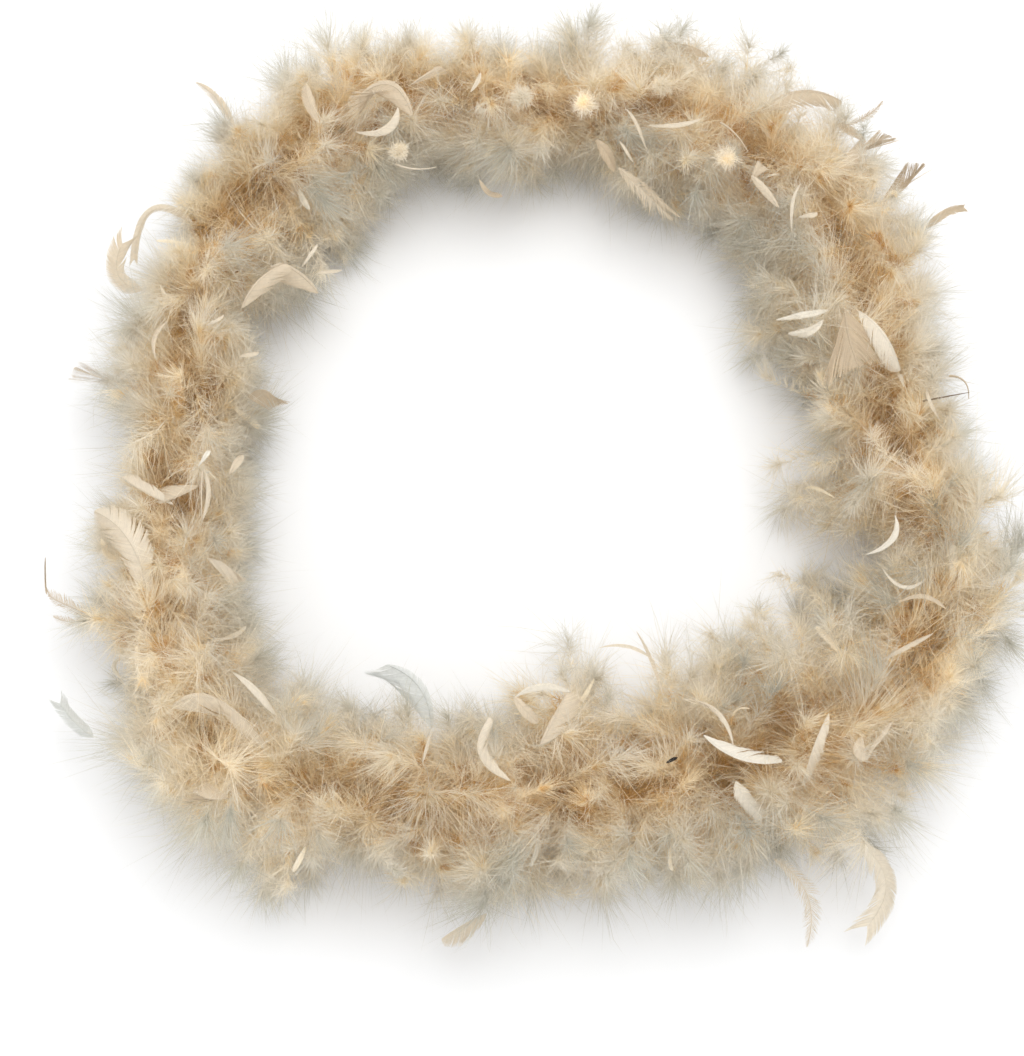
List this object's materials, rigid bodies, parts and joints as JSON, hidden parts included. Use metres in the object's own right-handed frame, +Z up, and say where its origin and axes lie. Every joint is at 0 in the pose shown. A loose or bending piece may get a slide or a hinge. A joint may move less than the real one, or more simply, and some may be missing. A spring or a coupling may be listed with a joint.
{
  "type": "feather boa",
  "caption": "Fluffy beige feather boa, a limp twisted cord covered all round in down and flat feather tips, laid out as an open ring.",
  "frame": {"origin": "under the middle of the laid-out ring, on the surface that the boa lies on", "axes": "+Z up from that surface; +X along the ring's longest side, towards where the two ends meet; +Y towards the ring's far side"},
  "size_m": [0.7595, 0.7516, 0.1295],
  "materials": {
    "feathers": "soft dyed turkey feather, beige down with pale cream flat tips",
    "core_cord": "two-ply twisted cotton cord, tan",
    "binding_thread": "fine waxed thread, beige"
  },
  "bodies": {
    "root": {"core_cord": "core_cord", "end_knot_a": "core_cord", "end_knot_b": "core_cord", "end_whipping_a": "binding_thread", "end_whipping_b": "binding_thread", "feather_tuft_01": "feathers", "feather_tuft_02": "feathers", "feather_tuft_03": "feathers", "feather_tuft_04": "feathers", "feather_tuft_05": "feathers", "feather_tuft_06": "feathers", "feather_tuft_07": "feathers", "feather_tuft_08": "feathers", "feather_tuft_09": "feathers", "feather_tuft_10": "feathers", "feather_tuft_11": "feathers", "feather_tuft_12": "feathers", "feather_tuft_13": "feathers", "feather_tuft_14": "feathers", "feather_tuft_15": "feathers", "feather_tuft_16": "feathers", "feather_tuft_17": "feathers", "feather_tuft_18": "feathers", "feather_tuft_19": "feathers", "feather_tuft_20": "feathers", "feather_tuft_21": "feathers", "feather_tuft_22": "feathers", "feather_tuft_23": "feathers", "feather_tuft_24": "feathers", "feather_tuft_25": "feathers", "feather_tuft_26": "feathers", "feather_tuft_27": "feathers", "feather_tuft_28": "feathers", "feather_tuft_29": "feathers", "feather_tuft_30": "feathers", "feather_tuft_31": "feathers", "feather_tuft_32": "feathers", "feather_tuft_33": "feathers", "feather_tuft_34": "feathers", "feather_tuft_35": "feathers", "feather_tuft_36": "feathers", "feather_tuft_37": "feathers", "feather_tuft_38": "feathers", "feather_tuft_39": "feathers", "feather_tuft_40": "feathers", "feather_tuft_41": "feathers", "feather_tuft_42": "feathers", "feather_tuft_43": "feathers", "feather_tuft_44": "feathers", "feather_tuft_45": "feathers", "feather_tuft_46": "feathers", "feather_tuft_47": "feathers", "feather_tuft_48": "feathers"}
  },
  "joints": []
}
